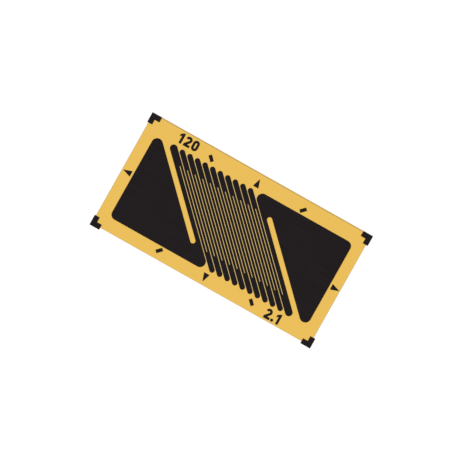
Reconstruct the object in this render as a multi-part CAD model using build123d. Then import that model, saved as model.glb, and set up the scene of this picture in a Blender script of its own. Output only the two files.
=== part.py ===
from build123d import *
from math import cos, radians, sin
import os

# Foil strain gauge with one grid, slanted at 45 degrees to the long axis. It lies flat, foil up.
# Sizes are in millimetres. X runs along the gauge, Y across it and Z up through the film.
# The origin is on the underside of the film, at the middle of the trim frame.

# Thickness of the backing film and of the etched foil
film_thickness = 0.045
foil_thickness = 0.005

# Grid: fine lines with their ends joined in turn by solid round loops
grid_angle = 45
grid_length = 3.18
line_width = 0.080
line_gap = 0.032
loops_per_end = 10
loop_length = 0.776
lead_loop_length = 0.819

# Lead bars along both sides of the grid, and the slots that part them from the tabs
lead_width = 0.161
slot_width = 0.197

# Solder tabs: right-angled triangles with rounded corners
tab_height = 3.67
tab_overhang = 0.049
tab_neck = 0.631
tab_corner_radius = 0.208

# Arrow heads that point out along the two axes of the gauge
arrow_length = 0.325
arrow_base = 0.218
end_arrow_gap = 0.083
side_arrow_gap = 0.064

# Short bars that mark the two slanted axes through the middle of the grid
angle_mark_length = 0.250
angle_mark_width = 0.125
angle_mark_gap = 0.045

# Trim frame, shown by an L at each corner
end_trim_margin = 0.097
side_trim_margin = 0.211
trim_arm_length = 0.405
trim_arm_width = 0.209

# The film is cut a little inside the trim frame on three sides and flush with it along the fourth
film_inset_left = 0.046
film_inset_right = 0.070
film_inset_lower = 0.085

# Across the grid: distances from the middle, square to the lines
slope_cos = cos(radians(grid_angle))
slope_sin = sin(radians(grid_angle))
line_pitch = line_width + line_gap
outer_line = loops_per_end * line_pitch
lead_inner = outer_line + line_width / 2 + line_gap
lead_outer = lead_inner + lead_width
tab_edge = lead_outer + slot_width

# Heights of the loop tips, the tabs' long edges and the slots' round ends above the long axis
grid_top = grid_length / 2 * slope_sin
loop_radius = (line_pitch + line_width) / 2
loop_tip = grid_top + (loop_length - loop_radius) * slope_sin + loop_radius
tab_top = loop_tip + tab_overhang
slot_end = tab_top - tab_neck - slot_width / 2
tab_apex = tab_height - tab_top

# Half sizes of the pattern and of the trim frame
tab_end = (tab_edge + tab_apex * slope_cos) / slope_sin
half_length = tab_end + end_arrow_gap + arrow_length + end_trim_margin
half_width = tab_top + side_arrow_gap + arrow_length + side_trim_margin

# Heights of the slanted marks' middles above the long axis
angle_mark_reach = (angle_mark_length * slope_sin + angle_mark_width * slope_cos) / 2
angle_mark_height = tab_top + angle_mark_gap + angle_mark_reach


def along_grid(across, height):
    """How far down the grid the line at the distance across lies, where it passes the height."""
    return (across * slope_cos - height) / slope_sin


def gauge_point(down, across):
    """The point in gauge X and Y that lies down the lines and across them from the middle."""
    x = down * slope_cos + across * slope_sin
    y = across * slope_cos - down * slope_sin
    return (x, y)


def on_grid(outline, down, across):
    """Turn an outline drawn along X onto the slant of the grid and place it there."""
    return Rot(0, 0, -grid_angle) * Pos(down, across) * outline


def grid_line(across):
    """One fine line, run on at both ends into the loops that join it to its neighbours."""
    full_length = grid_length + 2 * line_pitch
    return on_grid(Rectangle(full_length, line_width), along_grid(across, 0), across)


def end_loop(inner_edge, outer_edge, gap_middle, length):
    """Solid loop at the lower end of the grid, round outside and round where the gap ends."""
    radius = (outer_edge - inner_edge) / 2
    middle = (outer_edge + inner_edge) / 2
    gap_radius = line_gap / 2
    straight = length - radius
    band = Pos(-gap_radius, 0) * Rectangle(
        straight + gap_radius, 2 * radius, align=(Align.MIN, Align.CENTER)
    )
    cap = Pos(straight, 0) * Circle(radius)
    gap_end = Pos(-gap_radius, gap_middle - middle) * Circle(gap_radius)
    return on_grid(band + cap - gap_end, along_grid(gap_middle, -grid_top), middle)


def lead_bar():
    """Bar beside the last line, from the neck of the right tab down to the wide loop."""
    start = along_grid(tab_edge - slot_width / 2, slot_end) - lead_width
    finish = along_grid(lead_inner, -grid_top) + lead_width
    bar = Rectangle(finish - start, lead_width, align=(Align.MIN, Align.MIN))
    return on_grid(bar, start, lead_inner)


def right_tab():
    """Solder tab on the right: a rounded triangle, with a neck that the lead bar grows from."""
    slot_middle = tab_edge - slot_width / 2
    neck_level = along_grid(slot_middle, slot_end)
    corners = [
        gauge_point(along_grid(tab_edge, -tab_apex), tab_edge),
        (tab_end, tab_top),
        gauge_point(along_grid(lead_inner, tab_top), lead_inner),
        gauge_point(neck_level, lead_inner),
        gauge_point(neck_level, tab_edge),
    ]
    radii = [tab_corner_radius] * 3 + [0, 0]
    tab = make_face(FilletPolyline(corners, radius=radii, close=True))
    slot_bottom = on_grid(Circle(slot_width / 2), neck_level, slot_middle)
    return tab - slot_bottom


def foil_outline():
    """The one conductor: tab, lead bar, every line and loop in turn, lead bar and tab."""
    lines = [
        grid_line(number * line_pitch) for number in range(-loops_per_end, loops_per_end + 1)
    ]
    loops = []
    for number in range(loops_per_end):
        middle = (2 * number + 0.5 - loops_per_end) * line_pitch
        loops.append(end_loop(middle - loop_radius, middle + loop_radius, middle, loop_length))
    lead_gap_middle = lead_inner - line_gap / 2
    lead_loop = end_loop(
        outer_line - line_width / 2, lead_outer, lead_gap_middle, lead_loop_length
    )
    half = Sketch() + loops + lead_loop + lead_bar() + right_tab()
    return Sketch() + lines + half + Rot(0, 0, 180) * half


def trim_corner(turns):
    """L-shaped mark with its outer corner on the trim frame; no turns is the lower left one."""
    long_arm = Rectangle(trim_arm_length, trim_arm_width, align=(Align.MIN, Align.MIN))
    cross_arm = Rectangle(trim_arm_width, trim_arm_length, align=(Align.MIN, Align.MIN))
    x = half_length if turns in (1, 2) else -half_length
    y = half_width if turns in (2, 3) else -half_width
    return Pos(x, y) * Rot(0, 0, 90 * turns) * (long_arm + cross_arm)


def arrow_head(apex_distance, direction):
    """Triangle with its apex at a distance from the middle, pointing out in the direction."""
    base = apex_distance - arrow_length
    corners = [(apex_distance, 0), (base, arrow_base / 2), (base, -arrow_base / 2)]
    return Rot(0, 0, direction) * make_face(Polyline(corners, close=True))


def angle_mark(direction):
    """Short bar that lies along a slanted axis through the middle of the grid."""
    distance = angle_mark_height / abs(sin(radians(direction)))
    return Rot(0, 0, direction) * Pos(distance, 0) * Rectangle(angle_mark_length, angle_mark_width)


def film_outline(ears):
    """Rectangle inside the trim frame, with an ear left under each mark that reaches past it."""
    length = 2 * half_length - film_inset_left - film_inset_right
    width = 2 * half_width - film_inset_lower
    sheet = Rectangle(length, width, align=(Align.MIN, Align.MAX))
    return Pos(film_inset_left - half_length, half_width) * sheet + ears


def foil_piece(outline):
    """Solid foil of the outline, lying on the upper face of the film."""
    return Pos(0, 0, film_thickness) * extrude(outline, foil_thickness)


trim_marks = {
    "trim_mark_lower_left": trim_corner(0),
    "trim_mark_lower_right": trim_corner(1),
    "trim_mark_upper_right": trim_corner(2),
    "trim_mark_upper_left": trim_corner(3),
}

foil_outlines = {
    "measuring_foil": foil_outline(),
    **trim_marks,
    "end_arrow_right": arrow_head(half_length - end_trim_margin, 0),
    "side_arrow_upper": arrow_head(half_width - side_trim_margin, 90),
    "end_arrow_left": arrow_head(half_length - end_trim_margin, 180),
    "side_arrow_lower": arrow_head(half_width - side_trim_margin, 270),
    "angle_mark_upper_right": angle_mark(90 - grid_angle),
    "angle_mark_upper_left": angle_mark(180 - grid_angle),
    "angle_mark_lower_left": angle_mark(270 - grid_angle),
    "angle_mark_lower_right": angle_mark(360 - grid_angle),
}

pieces = {"backing_film": extrude(film_outline(list(trim_marks.values())), film_thickness)}
for name, outline in foil_outlines.items():
    pieces[name] = foil_piece(outline)

os.makedirs("parts", exist_ok=True)
for name, piece in pieces.items():
    export_step(piece, f"parts/{name}.step")
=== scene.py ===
from math import atan2, cos, degrees, hypot, pi, radians, sin, tan

import bpy
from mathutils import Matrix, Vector
from mathutils.geometry import delaunay_2d_cdt


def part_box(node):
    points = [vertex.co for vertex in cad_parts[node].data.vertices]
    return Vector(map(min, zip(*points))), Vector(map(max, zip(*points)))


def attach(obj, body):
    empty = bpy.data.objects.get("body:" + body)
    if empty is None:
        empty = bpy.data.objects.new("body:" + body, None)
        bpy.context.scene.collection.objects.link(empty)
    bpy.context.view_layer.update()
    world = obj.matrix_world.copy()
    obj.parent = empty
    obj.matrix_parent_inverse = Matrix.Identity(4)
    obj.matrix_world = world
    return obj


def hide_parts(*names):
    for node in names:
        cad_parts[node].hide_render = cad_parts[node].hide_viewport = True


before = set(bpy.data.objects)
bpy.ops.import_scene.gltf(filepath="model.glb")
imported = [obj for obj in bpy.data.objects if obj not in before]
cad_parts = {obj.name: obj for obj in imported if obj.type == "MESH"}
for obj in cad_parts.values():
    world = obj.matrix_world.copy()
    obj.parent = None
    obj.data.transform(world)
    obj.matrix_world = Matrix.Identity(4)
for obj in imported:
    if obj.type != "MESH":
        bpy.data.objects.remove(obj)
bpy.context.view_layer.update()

# Backing film: one sheet of amber polyimide, cast smooth, with all the foil bonded to its upper face.
# Between the lines of the grid it has painted shade: a duller amber that stands in for the shade of the
# foil walls over the narrow gaps. A blade cuts it to size: that rounds its rim a little, and presses a
# narrow ledge along the upper long side, which shows as a hairline.
MM = 0.001
film_low, film_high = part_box("backing_film")
film_face = film_high.z
ear_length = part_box("trim_mark_lower_left")[1].x - film_low.x
film_inset_left = 0.046 * MM
film_inset_right = 0.070 * MM
film_inset_lower = 0.085 * MM
rim_width = 0.010 * MM
rim_depth = 0.020 * MM
upper_rim_width = 0.040 * MM
upper_rim_run_out = 0.020 * MM
ledge_width = 0.020 * MM
ledge_drop = 0.001 * MM

film_amber = (0.770, 0.462, 0.060, 1.0)
film_pale_amber = (0.818, 0.502, 0.078, 1.0)
film_cut_amber = (0.360, 0.260, 0.120, 1.0)
# Painted shade: a duller amber for the film in the narrow gaps between the grid's lines, where the foil
# walls shade it.
film_gap_shade_amber = (0.690, 0.480, 0.150, 1.0)
film_cloud_share = 0.7
film_line_share = 0.3
film_roughness = (0.38, 0.48)
film_gloss = 0.3
film_grain_height = 0.0012 * MM
film_grain_strength = 0.5

grid_slope = radians(45)
# Reach of the painted shade between the lines, across and along the grid, and the width of its fade.
gap_shade_across = 1.30 * MM
gap_shade_along = 1.62 * MM
gap_shade_fade = 0.08 * MM


def feed(tree, value, socket):
    """Give a socket its value: another node's output, a number or a colour."""
    if isinstance(value, bpy.types.NodeSocket):
        tree.links.new(value, socket)
    else:
        socket.default_value = value


def worked_out(tree, operation, *values, clamp=False):
    """Result of one sum on the values, which are numbers or sockets."""
    sum_node = tree.nodes.new("ShaderNodeMath")
    sum_node.operation = operation
    sum_node.use_clamp = clamp
    for value, socket in zip(values, sum_node.inputs):
        feed(tree, value, socket)
    return sum_node.outputs[0]


def spread_between(tree, value, low, high, start=0.0, end=1.0):
    """Number that runs from low to high as the value runs from start to end, and stops there."""
    spread = tree.nodes.new("ShaderNodeMapRange")
    spread.inputs["From Min"].default_value = start
    spread.inputs["From Max"].default_value = end
    spread.inputs["To Min"].default_value = low
    spread.inputs["To Max"].default_value = high
    feed(tree, value, spread.inputs["Value"])
    return spread.outputs["Result"]


def mix_colours(tree, factor, first, second):
    """Colour that goes from the first to the second as the factor goes from 0 to 1."""
    mix = tree.nodes.new("ShaderNodeMix")
    mix.data_type = "RGBA"
    feed(tree, factor, mix.inputs["Factor"])
    feed(tree, first, mix.inputs["A"])
    feed(tree, second, mix.inputs["B"])
    return mix.outputs["Result"]


def raised_by(tree, height, distance, strength):
    """Normal bumped by a height from 0 to 1 that stands for the distance in metres."""
    bump = tree.nodes.new("ShaderNodeBump")
    bump.inputs["Distance"].default_value = distance
    bump.inputs["Strength"].default_value = strength
    feed(tree, height, bump.inputs["Height"])
    return bump.outputs["Normal"]


def place_in_mm(tree):
    """Place on the gauge in millimetres, the unit of the groups' scales."""
    place = tree.nodes.new("ShaderNodeTexCoord")
    to_mm = tree.nodes.new("ShaderNodeVectorMath")
    to_mm.operation = "SCALE"
    to_mm.inputs["Scale"].default_value = 1 / MM
    feed(tree, place.outputs["Object"], to_mm.inputs[0])
    return to_mm.outputs[0]


def noise(tree, place, scale, detail, roughness=0.5):
    """Uneven value from 0 to 1 that changes with the place."""
    uneven = tree.nodes.new("ShaderNodeTexNoise")
    uneven.inputs["Detail"].default_value = detail
    uneven.inputs["Roughness"].default_value = roughness
    feed(tree, place, uneven.inputs["Vector"])
    feed(tree, scale, uneven.inputs["Scale"])
    return uneven.outputs["Fac"]


def node_group(name, inputs, outputs):
    """Empty shader group with named number sockets, and its input and output nodes."""
    group = bpy.data.node_groups.new(name, "ShaderNodeTree")
    for label, value in inputs.items():
        socket = group.interface.new_socket(label, in_out="INPUT", socket_type="NodeSocketFloat")
        socket.default_value = value
    for label in outputs:
        group.interface.new_socket(label, in_out="OUTPUT", socket_type="NodeSocketFloat")
    return group, group.nodes.new("NodeGroupInput"), group.nodes.new("NodeGroupOutput")


def sheet_streaks_group():
    """Fine lines left along a sheet by casting or rolling: the scales are in lines per millimetre."""
    inputs = {"Along": 0.2, "Across": 10.0, "Contrast": 1.0}
    average = 0.5
    group, given, made = node_group("Sheet streaks", inputs, ["Streak"])
    scale = group.nodes.new("ShaderNodeCombineXYZ")
    feed(group, given.outputs["Along"], scale.inputs["X"])
    feed(group, given.outputs["Across"], scale.inputs["Y"])
    stretch = group.nodes.new("ShaderNodeVectorMath")
    stretch.operation = "MULTIPLY"
    feed(group, place_in_mm(group), stretch.inputs[0])
    feed(group, scale.outputs[0], stretch.inputs[1])
    lines = noise(group, stretch.outputs[0], scale=1.0, detail=5.0, roughness=0.6)
    centred = worked_out(group, "SUBTRACT", lines, average)
    contrast = given.outputs["Contrast"]
    streak = worked_out(group, "MULTIPLY_ADD", centred, contrast, average, clamp=True)
    feed(group, streak, made.inputs["Streak"])
    return group


def cloudy_sheet_group():
    """Soft uneven patches over a sheet, and the fine grain on top of them, both from 0 to 1."""
    inputs = {"Patches per mm": 0.6, "Grains per mm": 40.0}
    group, given, made = node_group("Cloudy sheet", inputs, ["Patch", "Grain"])
    place = place_in_mm(group)
    patch = noise(group, place, given.outputs["Patches per mm"], detail=3.0)
    grain = noise(group, place, given.outputs["Grains per mm"], detail=2.0)
    feed(group, patch, made.inputs["Patch"])
    feed(group, grain, made.inputs["Grain"])
    return group


def side_walls_group():
    """Mask that is 0 on a level face and grows to 1 as the surface slopes down to a wall."""
    inputs = {"Softness": 0.03}
    group, given, made = node_group("Side walls", inputs, ["Wall"])
    surface = group.nodes.new("ShaderNodeNewGeometry")
    split = group.nodes.new("ShaderNodeSeparateXYZ")
    feed(group, surface.outputs["True Normal"], split.inputs[0])
    upright = worked_out(group, "ABSOLUTE", split.outputs["Z"])
    slope = worked_out(group, "SUBTRACT", 1.0, upright)
    wall = worked_out(group, "DIVIDE", slope, given.outputs["Softness"], clamp=True)
    feed(group, wall, made.inputs["Wall"])
    return group


sheet_streaks = sheet_streaks_group()
cloudy_sheet = cloudy_sheet_group()
side_walls = side_walls_group()


def place_group(tree, group, **values):
    """Put a shared group into a material with this material's own values, and give its outputs."""
    node = tree.nodes.new("ShaderNodeGroup")
    node.node_tree = group
    for label, value in values.items():
        node.inputs[label.replace("_", " ")].default_value = value
    return node.outputs


def new_material(name):
    """Material with its tree and its Principled shader."""
    material = bpy.data.materials.new(name)
    material.use_nodes = True
    tree = material.node_tree
    return material, tree, tree.nodes["Principled BSDF"]


def inside_reach(tree, distance, reach):
    """1 where a distance from the middle is within the reach, fading to 0 at its end."""
    either_side = worked_out(tree, "ABSOLUTE", distance)
    return spread_between(tree, either_side, 0.0, 1.0, start=reach, end=reach - gap_shade_fade)


def gap_shade_mask(tree):
    """Mask of the slanted grid, where the film shows only in the narrow gaps etched in the foil and
    gets painted shade.
    """
    place = tree.nodes.new("ShaderNodeTexCoord").outputs["Object"]
    turn = tree.nodes.new("ShaderNodeVectorRotate")
    turn.rotation_type = "Z_AXIS"
    turn.inputs["Angle"].default_value = grid_slope
    feed(tree, place, turn.inputs["Vector"])
    square_to_lines = tree.nodes.new("ShaderNodeSeparateXYZ")
    feed(tree, turn.outputs[0], square_to_lines.inputs[0])
    level = tree.nodes.new("ShaderNodeSeparateXYZ")
    feed(tree, place, level.inputs[0])
    across = inside_reach(tree, square_to_lines.outputs["Y"], gap_shade_across)
    along = inside_reach(tree, level.outputs["Y"], gap_shade_along)
    return worked_out(tree, "MULTIPLY", across, along)


def polyimide_film():
    """Amber film: slightly cloudy, faintly lined and satin, with painted shade in the gaps, deeper
    where cut.
    """
    material, tree, skin = new_material("Polyimide film")
    clouds = place_group(tree, cloudy_sheet, Patches_per_mm=0.55, Grains_per_mm=38.0)
    lines = place_group(tree, sheet_streaks, Along=0.12, Across=7.0, Contrast=2.0)
    walls = place_group(tree, side_walls, Softness=0.04)
    cloudy = worked_out(tree, "MULTIPLY", clouds["Patch"], film_cloud_share)
    paleness = worked_out(tree, "MULTIPLY_ADD", lines["Streak"], film_line_share, cloudy)
    face = mix_colours(tree, paleness, film_amber, film_pale_amber)
    # Painted shade: the film in the gaps between the lines takes the duller amber.
    face_with_gap_shade = mix_colours(tree, gap_shade_mask(tree), face, film_gap_shade_amber)
    colour = mix_colours(tree, walls["Wall"], face_with_gap_shade, film_cut_amber)
    feed(tree, colour, skin.inputs["Base Color"])
    roughness = spread_between(tree, lines["Streak"], *film_roughness)
    feed(tree, roughness, skin.inputs["Roughness"])
    grain = raised_by(tree, clouds["Grain"], film_grain_height, film_grain_strength)
    feed(tree, grain, skin.inputs["Normal"])
    skin.inputs["Specular IOR Level"].default_value = film_gloss
    return material


def film_outline(rim=0.0, upper_rim=0.0):
    """Corners of the sheet, anticlockwise, with an ear out to the trim frame under each L mark.

    The cut edges between the ears are drawn in by the rims, and the ears keep their size.
    """
    left, right, lower, upper = film_low.x, film_high.x, film_low.y, film_high.y
    cut_left = left + film_inset_left + rim
    cut_right = right - film_inset_right - rim
    cut_lower = lower + film_inset_lower + rim
    cut_upper = upper - upper_rim
    return [
        (left, lower),
        (left + ear_length, lower),
        (left + ear_length, cut_lower),
        (right - ear_length, cut_lower),
        (right - ear_length, lower),
        (right, lower),
        (right, lower + ear_length),
        (cut_right, lower + ear_length),
        (cut_right, upper - ear_length),
        (right, upper - ear_length),
        (right, upper),
        (right - ear_length, upper),
        (right - ear_length - upper_rim_run_out, cut_upper),
        (left + ear_length + upper_rim_run_out, cut_upper),
        (left + ear_length, upper),
        (left, upper),
        (left, upper - ear_length),
        (cut_left, upper - ear_length),
        (cut_left, lower + ear_length),
        (left, lower + ear_length),
    ]


def film_levels():
    """Levels of the sheet from the bottom up: the straight cut, the ledge and the rounded rim."""
    rim_steps = 8
    ledge_level = film_face - rim_depth - ledge_drop
    levels = [(film_low.z, [film_outline()]), (ledge_level, [film_outline()])]
    for step in range(rim_steps + 1):
        angle = pi / 2 * step / rim_steps
        drawn_in = 1 - cos(angle)
        height = film_face - rim_depth * (1 - sin(angle))
        upper_rim = ledge_width + (upper_rim_width - ledge_width) * drawn_in
        levels.append((height, [film_outline(rim_width * drawn_in, upper_rim)]))
    return levels


def filled(outlines):
    """Triangles that fill the outlines but not their holes, as the numbers of the outlines' points."""
    closest_mm = 0.000001
    all_but_holes = 2
    points, rings = [], []
    for outline in outlines:
        rings.append(list(range(len(points), len(points) + len(outline))))
        points += [Vector((x / MM, y / MM)) for x, y in outline]
    fill = delaunay_2d_cdt(points, [], rings, all_but_holes, closest_mm)
    triangles, given_points = fill[2], fill[3]
    return [[given_points[corner][0] for corner in triangle] for triangle in triangles]


def flat_piece(name, shapes, material):
    """Closed flat piece of one or more shapes. A shape is its levels from the bottom up.

    A level is its height and its outlines: the outer one anticlockwise, and any holes clockwise.
    """
    vertices, faces = [], []
    for levels in shapes:
        bottom_outlines, top_outlines = levels[0][1], levels[-1][1]
        outline_sizes = [len(outline) for outline in bottom_outlines]
        level_size = sum(outline_sizes)
        bottom = len(vertices)
        top = bottom + level_size * (len(levels) - 1)
        for height, outlines in levels:
            vertices += [(x, y, height) for outline in outlines for x, y in outline]
        for first, second, third in filled(bottom_outlines):
            faces.append((bottom + first, bottom + third, bottom + second))
        for first, second, third in filled(top_outlines):
            faces.append((top + first, top + second, top + third))
        for level in range(len(levels) - 1):
            start = bottom + level_size * level
            for outline_size in outline_sizes:
                for step in range(outline_size):
                    here, ahead = start + step, start + (step + 1) % outline_size
                    faces.append((here, ahead, ahead + level_size, here + level_size))
                start += outline_size
    mesh = bpy.data.meshes.new(name)
    mesh.from_pydata(vertices, [], faces)
    mesh.materials.append(material)
    piece = bpy.data.objects.new(name, mesh)
    bpy.context.scene.collection.objects.link(piece)
    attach(piece, "root")
    return piece


film = flat_piece("polyimide_sheet", [film_levels()], polyimide_film())
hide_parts("backing_film")

# Measuring foil: one rolled copper-nickel foil, 5 micrometres thick, bonded to the film's face.
# Acid etches the gaps through it, so its walls curve out to a thin foot on the film. Tab, lead bar,
# lines and loops are one unbroken strip that turns back on itself all along the grid.
foil_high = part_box("measuring_foil")[1]
foil_face = foil_high.z
tab_end = foil_high.x
tab_top = foil_high.y
wall_foot = 0.005 * MM
edge_softness = 0.0006 * MM

grid_length = 3.18 * MM
line_width = 0.080 * MM
line_gap = 0.032 * MM
loops_per_end = 10
loop_length = 0.776 * MM
lead_loop_length = 0.819 * MM
lead_width = 0.161 * MM
slot_width = 0.197 * MM
tab_neck = 0.631 * MM
tab_corner_radius = 0.208 * MM

line_pitch = line_width + line_gap
gap_radius = line_gap / 2
grid_top = grid_length / 2 * sin(grid_slope)
loop_radius = (line_pitch + line_width) / 2
outer_line = loops_per_end * line_pitch
lead_inner = outer_line + line_width / 2 + line_gap
lead_outer = lead_inner + lead_width
tab_edge = lead_outer + slot_width
slot_end = tab_top - tab_neck - slot_width / 2
slot_middle = lead_outer + slot_width / 2

foil_black = (0.0101, 0.0081, 0.0087, 1.0)
foil_worn_black = (0.0142, 0.0115, 0.0121, 1.0)
foil_wall_brown = (0.0300, 0.0190, 0.0130, 1.0)
foil_roughness = (0.42, 0.54)
foil_metallic = 0.5
foil_gloss = 0.0
roll_line_height = 0.0015 * MM
roll_line_strength = 0.35


def etched_foil():
    """Dark rolled foil: fine roll lines along the gauge, and browner walls where acid cut it."""
    material, tree, skin = new_material("Etched foil")
    clouds = place_group(tree, cloudy_sheet, Patches_per_mm=0.9)
    lines = place_group(tree, sheet_streaks, Along=0.35, Across=26.0, Contrast=2.4)
    walls = place_group(tree, side_walls, Softness=0.03)
    rolled = mix_colours(tree, lines["Streak"], foil_black, foil_worn_black)
    colour = mix_colours(tree, walls["Wall"], rolled, foil_wall_brown)
    feed(tree, colour, skin.inputs["Base Color"])
    roughness = spread_between(tree, clouds["Patch"], *foil_roughness)
    feed(tree, roughness, skin.inputs["Roughness"])
    roll_lines = raised_by(tree, lines["Streak"], roll_line_height, roll_line_strength)
    feed(tree, roll_lines, skin.inputs["Normal"])
    skin.inputs["Metallic"].default_value = foil_metallic
    skin.inputs["Specular IOR Level"].default_value = foil_gloss
    return material


foil_finish = etched_foil()


def along_grid(across, height):
    """How far down its run the line at the distance across passes the height."""
    return (across * cos(grid_slope) - height) / sin(grid_slope)


def gauge_point(down, across):
    """The gauge's X and Y of the point that lies down the lines and across them from the middle."""
    x = down * cos(grid_slope) + across * sin(grid_slope)
    y = across * cos(grid_slope) - down * sin(grid_slope)
    return (x, y)


def arc(middle, radius, start, sweep, steps):
    """Points round a middle, from the start angle through the sweep, both in degrees."""
    points = []
    for step in range(steps + 1):
        angle = radians(start + sweep * step / steps)
        points.append((middle[0] + radius * cos(angle), middle[1] + radius * sin(angle)))
    return points


def rounded_corner(before, corner, after, radius, steps):
    """Arc that rounds the corner between the straight run from before and the one to after."""
    into = atan2(corner[1] - before[1], corner[0] - before[0])
    out = atan2(after[1] - corner[1], after[0] - corner[0])
    turn = (out - into + pi) % (2 * pi) - pi
    side = 1 if turn > 0 else -1
    back = radius * tan(abs(turn) / 2)
    start = (corner[0] - back * cos(into), corner[1] - back * sin(into))
    middle = (start[0] - side * radius * sin(into), start[1] + side * radius * cos(into))
    return arc(middle, radius, degrees(into - side * pi / 2), degrees(turn), steps)


def loop_end(down, across, radius):
    """Round upper end of a loop, from its left side to its right, about its own middle."""
    return arc((down, across), radius, start=270, sweep=-180, steps=28)


def gap_end(down, across):
    """Round lower end of a gap, from its left side to its right, about its own middle."""
    return arc((down, across), gap_radius, start=-90, sweep=180, steps=10)


def grid_edge():
    """Upper edge of the strip, clockwise from the left lead bar to the right one, loop by loop.

    It runs down every second gap, round its closed end, and up round the loop beyond it.
    """
    lead_loop_inner = outer_line - line_width / 2
    lead_loop_radius = (lead_outer - lead_loop_inner) / 2
    lead_loop_across = (lead_outer + lead_loop_inner) / 2
    lead_gap_across = lead_inner - gap_radius
    lead_gap_end = along_grid(lead_gap_across, -grid_top)
    lead_loop_down = lead_gap_end + lead_loop_length - lead_loop_radius
    edge = loop_end(-lead_loop_down, -lead_loop_across, lead_loop_radius)
    for turn in range(loops_per_end):
        gap_across = (2 * turn + 0.5 - loops_per_end) * line_pitch
        gap_down = along_grid(gap_across, -grid_top) - gap_radius
        edge += gap_end(gap_down, gap_across)
        loop_across = gap_across + line_pitch
        loop_down = along_grid(loop_across, grid_top) - loop_length + loop_radius
        edge += loop_end(loop_down, loop_across, loop_radius)
    edge += gap_end(lead_gap_end - gap_radius, lead_gap_across)
    return [gauge_point(down, across) for down, across in edge]


def right_tab_edge():
    """Edge of the right tab, clockwise: its three rounded corners and the slot's round end."""
    corner_steps = 24
    neck_level = along_grid(slot_middle, slot_end)
    neck = gauge_point(neck_level, lead_inner)
    inner_corner = gauge_point(along_grid(lead_inner, tab_top), lead_inner)
    upper_corner = (tab_end, tab_top)
    lower_corner = (tab_end, (tab_edge - tab_end * sin(grid_slope)) / cos(grid_slope))
    slot_side = gauge_point(neck_level, tab_edge)
    corners = [neck, inner_corner, upper_corner, lower_corner, slot_side]
    edge = []
    for before, corner, after in zip(corners, corners[1:], corners[2:]):
        edge += rounded_corner(before, corner, after, tab_corner_radius, corner_steps)
    slot_round = arc((neck_level, slot_middle), slot_width / 2, start=90, sweep=180, steps=corner_steps)
    return edge + [gauge_point(down, across) for down, across in slot_round]


def without_doubles(outline):
    """Outline with no point twice, where one arc ends and the next one starts."""
    closest = 0.00001 * MM
    kept = []
    for x, y in outline:
        if not kept or hypot(x - kept[-1][0], y - kept[-1][1]) > closest:
            kept.append((x, y))
    if hypot(kept[0][0] - kept[-1][0], kept[0][1] - kept[-1][1]) <= closest:
        kept.pop()
    return kept


def drawn_in_by(outline, amount):
    """Outline moved into the foil by the amount, or out over the film where it is negative.

    The foil lies to the left of an outline: inside an anticlockwise one, round a clockwise hole.
    """
    moved = []
    for index, (x, y) in enumerate(outline):
        before = outline[index - 1]
        after = outline[(index + 1) % len(outline)]
        first = (x - before[0], y - before[1])
        second = (after[0] - x, after[1] - y)
        inward_x = -first[1] / hypot(*first) - second[1] / hypot(*second)
        inward_y = first[0] / hypot(*first) + second[0] / hypot(*second)
        mitre = (inward_x ** 2 + inward_y ** 2) / 2
        moved.append((x + inward_x * amount / mitre, y + inward_y * amount / mitre))
    return moved


def etched_piece(name, shapes, foot=wall_foot):
    """Foil left by the acid: its wall curves out to a foot on the film, and its edge is soft."""
    wall_steps = 5
    wall_height = foil_face - film_face - edge_softness
    profile = []
    for step in range(wall_steps + 1):
        angle = pi / 2 * step / wall_steps
        profile.append((film_face + wall_height * (1 - cos(angle)), -foot * (1 - sin(angle))))
    profile.append((foil_face, edge_softness))
    levelled = []
    for outlines in shapes:
        rings = [without_doubles(outline) for outline in outlines]
        levels = []
        for height, amount in profile:
            levels.append((height, [drawn_in_by(ring, amount) for ring in rings]))
        levelled.append(levels)
    return flat_piece(name, levelled, foil_finish)


# The gauge is its own copy after half a turn. Both halves run clockwise, so they are reversed.
upper_half = grid_edge() + right_tab_edge()
lower_half = [(-x, -y) for x, y in upper_half]
foil_outline = list(reversed(upper_half + lower_half))
measuring_foil = etched_piece("etched_conductor", [[foil_outline]])
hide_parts("measuring_foil")

# Marks round the pattern: corner Ls on the trim frame, arrow heads on the two axes of the gauge,
# and short bars on the two slanted axes. They are left standing when the same foil is etched.
# Acid rounds their corners a little.
mark_corner_radius = 0.007 * MM
trim_arm_width = 0.209 * MM
arrow_length = 0.325 * MM
arrow_base = 0.218 * MM
angle_mark_length = 0.250 * MM
angle_mark_width = 0.125 * MM


def softened(corners):
    """Outline of the corners with each one slightly rounded."""
    corner_steps = 5
    outline = []
    for index, corner in enumerate(corners):
        after = corners[(index + 1) % len(corners)]
        outline += rounded_corner(corners[index - 1], corner, after, mark_corner_radius, corner_steps)
    return outline


def turned(corners, angle, x=0.0, y=0.0):
    """Corners turned about the origin by the angle in degrees, and then moved by x and y."""
    cosine, sine = cos(radians(angle)), sin(radians(angle))
    return [(x + right * cosine - up * sine, y + right * sine + up * cosine) for right, up in corners]


def add_mark(node, corners, foot=wall_foot):
    """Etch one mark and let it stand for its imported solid."""
    mark = etched_piece("etched_" + node, [[softened(corners)]], foot)
    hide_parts(node)


# The Ls reach the very edge of the film, which leaves no room for a foot.
trim_l = [
    (0.0, 0.0),
    (ear_length, 0.0),
    (ear_length, trim_arm_width),
    (trim_arm_width, trim_arm_width),
    (trim_arm_width, ear_length),
    (0.0, ear_length),
]
trim_turns = {"lower_left": 0, "lower_right": 90, "upper_right": 180, "upper_left": 270}
for corner, angle in trim_turns.items():
    node = "trim_mark_" + corner
    low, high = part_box(node)
    frame_x = high.x if corner.endswith("right") else low.x
    frame_y = high.y if corner.startswith("upper") else low.y
    add_mark(node, turned(trim_l, angle, frame_x, frame_y), foot=0.0)

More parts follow.
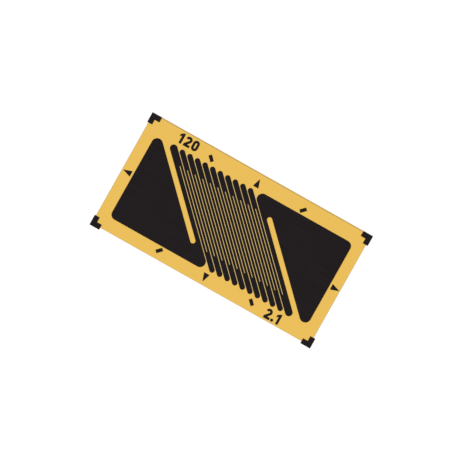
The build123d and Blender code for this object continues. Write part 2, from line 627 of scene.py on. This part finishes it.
arrow_turns = {
    "end_arrow_right": 0,
    "side_arrow_upper": 90,
    "end_arrow_left": 180,
    "side_arrow_lower": 270,
}
for node, angle in arrow_turns.items():
    low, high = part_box(node)
    tip = max(high.x, high.y, -low.x, -low.y)
    base = tip - arrow_length
    head = [(tip, 0.0), (base, arrow_base / 2), (base, -arrow_base / 2)]
    add_mark(node, turned(head, angle))

half_length = angle_mark_length / 2
half_width = angle_mark_width / 2
bar = [
    (half_length, half_width),
    (-half_length, half_width),
    (-half_length, -half_width),
    (half_length, -half_width),
]
bar_turns = {"upper_right": 45, "upper_left": 135, "lower_left": 225, "lower_right": 315}
for corner, angle in bar_turns.items():
    node = "angle_mark_" + corner
    low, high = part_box(node)
    middle = (low + high) / 2
    add_mark(node, turned(bar, angle, middle.x, middle.y))

# Figures: the gauge's resistance in ohms and its gauge factor, as plain numbers in two free corners
# of the film. They are etched from the same foil as the marks. Each figure is drawn one unit high.
figure_height = 0.392 * MM
stroke = 0.22
half_figure = 0.31
resistance_middle = (-2.92 * MM, 2.041 * MM)
gauge_factor_middle = (2.86 * MM, -1.990 * MM)


def figure_one():
    """A plain 1: a stem that stands on the origin, with a slanted flag at its top."""
    half_stem = stroke / 2
    flag_reach = half_stem + 0.20
    flag_top, flag_bottom, flag_root = 0.82, 0.60, 0.74
    outline = [
        (-half_stem, 0.0),
        (half_stem, 0.0),
        (half_stem, 1.0),
        (-half_stem / 2, 1.0),
        (-flag_reach, flag_top),
        (-flag_reach, flag_bottom),
        (-half_stem, flag_root),
    ]
    return [outline]


def figure_two():
    """A plain 2: a round head, a slanted neck and a flat foot."""
    head_middle = (0.0, 1.0 - half_figure)
    head_start, head_sweep = -40, 210
    neck_bottom = stroke * 0.9
    foot = [(-half_figure, 0.0), (half_figure, 0.0), (half_figure, stroke), (0.0, stroke)]
    outside = arc(head_middle, half_figure, head_start, head_sweep, steps=24)
    inside = arc(head_middle, half_figure - stroke, head_start + head_sweep, -head_sweep, steps=16)
    return [foot + outside + inside + [(-half_figure, neck_bottom)]]


def figure_nought():
    """A plain 0: a tall ring with round ends."""
    hole_radius = half_figure - stroke
    upper, lower = (0.0, 1.0 - half_figure), (0.0, half_figure)
    ring = arc(upper, half_figure, start=0, sweep=180, steps=20)
    ring += arc(lower, half_figure, start=180, sweep=180, steps=20)
    hole = arc(lower, hole_radius, start=0, sweep=-180, steps=12)
    hole += arc(upper, hole_radius, start=180, sweep=-180, steps=12)
    return [ring, hole]


def figure_point():
    """A round point on the foot line."""
    radius = stroke * 0.62
    return [arc((0.0, radius), radius, start=0, sweep=350, steps=35)]


def at_real_size(outline, middle, foot):
    """Outline of a figure at its real size, with its middle and its foot line in their places."""
    return [(middle + x * figure_height, foot + y * figure_height) for x, y in outline]


def number(name, figures, middle):
    """Etch the figures in a row. Each has the place of its middle along the row, in figure heights."""
    foot = middle[1] - figure_height / 2
    shapes = []
    for figure, place in figures:
        figure_middle = middle[0] + place * figure_height
        shapes.append([at_real_size(outline, figure_middle, foot) for outline in figure])
    etched_piece(name, shapes)


number(
    "etched_number_120",
    [(figure_one(), -0.72), (figure_two(), -0.08), (figure_nought(), 0.69)],
    resistance_middle,
)
number(
    "etched_number_2.1",
    [(figure_two(), -0.47), (figure_point(), 0.08), (figure_one(), 0.63)],
    gauge_factor_middle,
)

# Floor: a plain white bench top that the film lies on. It shows white to the camera and in
# reflections, and still takes the gauge's shadow.
floor_half = 0.6
floor_gap = 0.002 * MM
floor_white = (0.60, 0.60, 0.60, 1.0)
floor_roughness = 0.9
floor_gloss = 0.0
floor_shine = 0.50
full_white = (1.0, 1.0, 1.0, 1.0)

floor_corners = [
    (-floor_half, -floor_half, -floor_gap),
    (floor_half, -floor_half, -floor_gap),
    (floor_half, floor_half, -floor_gap),
    (-floor_half, floor_half, -floor_gap),
]
floor_mesh = bpy.data.meshes.new("bench_top")
floor_mesh.from_pydata(floor_corners, [], [(0, 1, 2, 3)])
floor = bpy.data.objects.new("bench_top", floor_mesh)
bpy.context.scene.collection.objects.link(floor)


def seen_directly(tree):
    """1 where the camera, a reflection or a clear material looks straight at the surface."""
    path = tree.nodes.new("ShaderNodeLightPath").outputs
    either = worked_out(tree, "ADD", path["Is Camera Ray"], path["Is Glossy Ray"])
    return worked_out(tree, "ADD", either, path["Is Transmission Ray"], clamp=True)


floor_material, floor_tree, floor_skin = new_material("White bench")
floor_skin.inputs["Base Color"].default_value = floor_white
floor_skin.inputs["Roughness"].default_value = floor_roughness
floor_skin.inputs["Specular IOR Level"].default_value = floor_gloss
floor_skin.inputs["Emission Color"].default_value = full_white
floor_glow = spread_between(floor_tree, seen_directly(floor_tree), 0.0, floor_shine)
feed(floor_tree, floor_glow, floor_skin.inputs["Emission Strength"])
floor_mesh.materials.append(floor_material)

# Light: an even white room, and one soft lamp over the gauge's lower long side.
# The lamp leaves a hair of shadow along the upper edge of the film.
room_level = 0.6
lamp_width = 0.12
lamp_power = 0.42
lamp_place = (-0.015, -0.105, 0.288)

world = bpy.data.worlds.new("Soft room")
bpy.context.scene.world = world
world.use_nodes = True
room = world.node_tree
room_light = room.nodes["Background"]
room_light.inputs["Color"].default_value = full_white
room_glow = spread_between(room, seen_directly(room), room_level, 1.0)
feed(room, room_glow, room_light.inputs["Strength"])

lamp_data = bpy.data.lights.new("soft_lamp", "AREA")
lamp_data.shape = "DISK"
lamp_data.size = lamp_width
lamp_data.energy = lamp_power
lamp = bpy.data.objects.new("soft_lamp", lamp_data)
lamp.location = lamp_place
lamp.rotation_euler = (-lamp.location).to_track_quat("-Z", "Y").to_euler()
bpy.context.scene.collection.objects.link(lamp)

# Camera: straight above, turned so that the gauge slants down to the right, with no perspective.
# The picture is 450 pixels wide. The gauge's middle lies a few pixels right of the picture's middle
# and below it.
picture_pixels = 450
metres_per_pixel = 0.03648 * MM
picture_turn = 29.39
gauge_pixels_right = 6.257
gauge_pixels_below = 5.357
camera_height = 0.1
camera_nearest = 0.001
camera_farthest = 10.0

camera_data = bpy.data.cameras.new("camera")
camera_data.type = "ORTHO"
camera_data.ortho_scale = picture_pixels * metres_per_pixel
camera_data.clip_start = camera_nearest
camera_data.clip_end = camera_farthest
camera = bpy.data.objects.new("camera", camera_data)
camera_right = -gauge_pixels_right * metres_per_pixel
camera_up = gauge_pixels_below * metres_per_pixel
camera_x, camera_y = turned([(camera_right, camera_up)], picture_turn)[0]
camera.location = (camera_x, camera_y, camera_height)
camera.rotation_euler = (0.0, 0.0, radians(picture_turn))
bpy.context.scene.collection.objects.link(camera)
bpy.context.scene.camera = camera
bpy.context.scene.view_settings.view_transform = "Standard"
